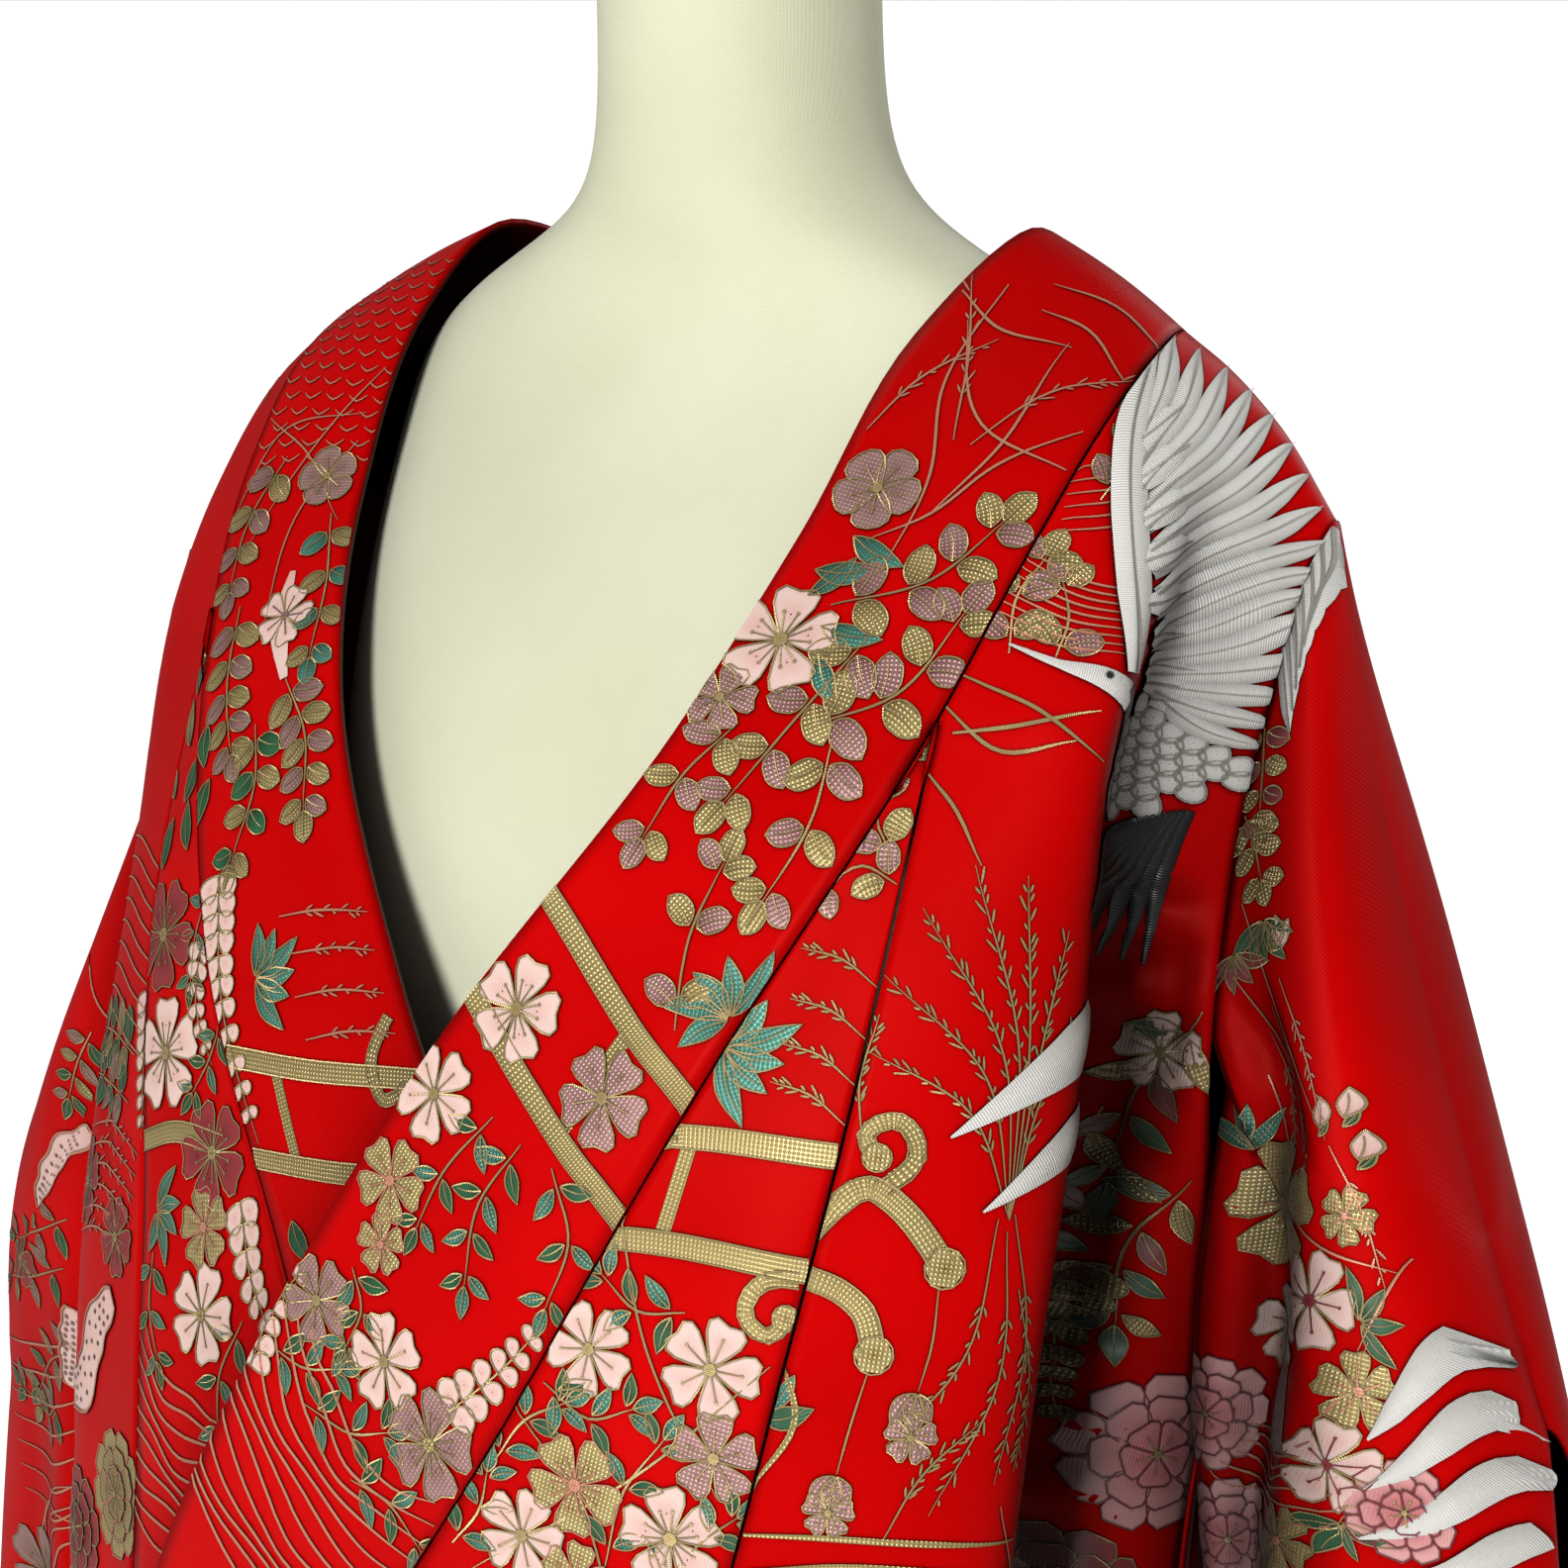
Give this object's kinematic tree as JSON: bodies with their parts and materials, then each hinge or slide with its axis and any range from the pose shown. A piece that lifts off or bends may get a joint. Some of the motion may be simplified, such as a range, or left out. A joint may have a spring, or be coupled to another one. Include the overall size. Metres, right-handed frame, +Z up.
{
  "type": "uchikake wedding kimono on a dress form",
  "caption": "Floor-length bridal over-kimono with long hanging sleeves and lapped fronts, draped on a limbless dress form with a round stand.",
  "frame": {"origin": "centre of the underside of the stand's round base, on the floor", "axes": "+Z up; the front of the garment faces -Y; the wearer's left is +X"},
  "size_m": [0.9229, 0.6798, 1.5998],
  "materials": {
    "red_silk": "satin weave silk, soft sheen",
    "gold_foil": "pressed metallic foil on the weave",
    "dyed_motif": "hand-dyed silk with drawn outlines",
    "embroidery": "raised satin-stitch silk thread",
    "form_cover": "smooth cotton jersey",
    "painted_steel": "satin off-white paint"
  },
  "bodies": {
    "root": {"body_left": "red_silk", "body_right": "red_silk", "okumi_left": "red_silk", "okumi_right": "red_silk", "collar": "red_silk", "sleeve_left": "red_silk", "sleeve_right": "red_silk", "form_torso": "form_cover", "form_pole": "painted_steel", "form_base": "painted_steel"}
  },
  "joints": []
}
